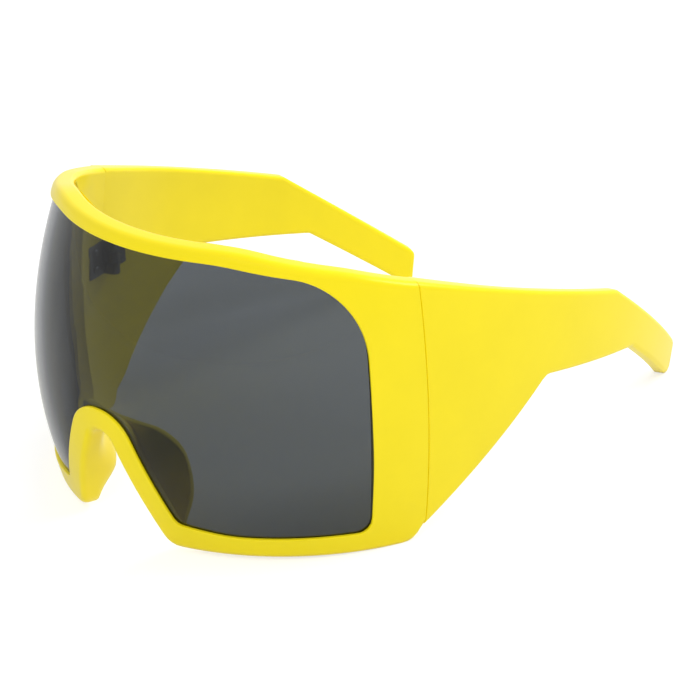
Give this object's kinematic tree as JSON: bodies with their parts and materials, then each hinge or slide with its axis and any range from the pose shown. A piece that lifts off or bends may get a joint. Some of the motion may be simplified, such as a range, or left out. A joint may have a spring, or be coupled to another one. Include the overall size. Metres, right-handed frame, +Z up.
{
  "type": "shield sunglasses",
  "caption": "Wrap-round shield sunglasses: a tall curved lens in a moulded front with a nose notch and moulded nose pads, and broad folding temples that step down to narrow tails.",
  "frame": {"origin": "on the table, under the middle of the whole object as it stands on its lower rims and temple tips", "axes": "+X to the wearer's left, +Y backwards along the temples, +Z up"},
  "size_m": [0.152, 0.1824, 0.0918],
  "materials": {
    "yellow_plastic": "satin moulded",
    "grey_lens": "polished tinted",
    "dark_metal": "dark plated"
  },
  "bodies": {
    "front": {"front_frame": "yellow_plastic", "shield_lens": "grey_lens", "left_front_leaf": "dark_metal", "left_hinge_screw": "dark_metal", "left_front_rivet_upper": "dark_metal", "left_front_rivet_lower": "dark_metal", "right_front_leaf": "dark_metal", "right_hinge_screw": "dark_metal", "right_front_rivet_upper": "dark_metal", "right_front_rivet_lower": "dark_metal"},
    "left_arm": {"left_temple": "yellow_plastic", "left_temple_leaf": "dark_metal", "left_temple_rivet_upper": "dark_metal", "left_temple_rivet_lower": "dark_metal"},
    "right_arm": {"right_temple": "yellow_plastic", "right_temple_leaf": "dark_metal", "right_temple_rivet_upper": "dark_metal", "right_temple_rivet_lower": "dark_metal"}
  },
  "joints": [
    {"name": "left_temple_fold", "type": "hinge", "parent": "front", "child": "left_arm", "pos_m": [0.06211, -0.02958, 0.04903], "axis": [0, 0.0523, 0.9986], "range_deg": [0, 86]},
    {"name": "right_temple_fold", "type": "hinge", "parent": "front", "child": "right_arm", "pos_m": [-0.06211, -0.02958, 0.04903], "axis": [0, -0.0523, -0.9986], "range_deg": [0, 80]}
  ]
}
